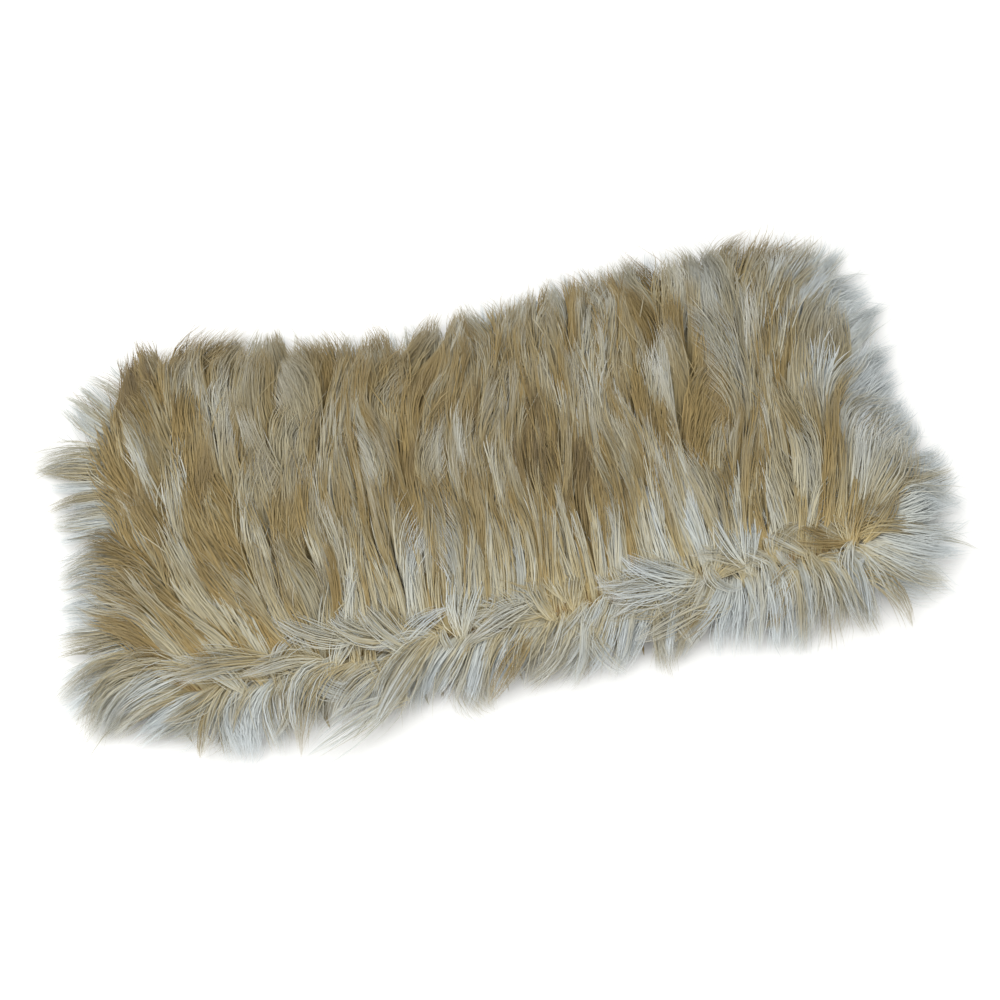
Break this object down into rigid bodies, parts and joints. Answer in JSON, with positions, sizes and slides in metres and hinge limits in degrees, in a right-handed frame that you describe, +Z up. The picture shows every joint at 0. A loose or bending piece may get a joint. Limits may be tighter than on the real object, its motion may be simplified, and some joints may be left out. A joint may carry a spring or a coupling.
{
  "type": "fur collar wrap",
  "caption": "Wide long-pile fur collar wrap laid flat, its pile parted along a seam near the front edge and standing out past every edge in pointed locks.",
  "frame": {"origin": "centre of the wrap's box on the surface it lies on", "axes": "+X along the seam, +Y from the seam to the back edge, +Z up out of the surface"},
  "size_m": [0.6278, 0.3682, 0.0566],
  "materials": {
    "fur": "long soft pile, golden beige",
    "fur_tips": "long soft pile, pale silver beige"
  },
  "bodies": {
    "root": {"top_panel": "fur", "under_panel": "fur", "front_locks": "fur_tips", "back_locks": "fur_tips", "left_end_locks": "fur_tips", "right_end_locks": "fur_tips"}
  },
  "joints": []
}
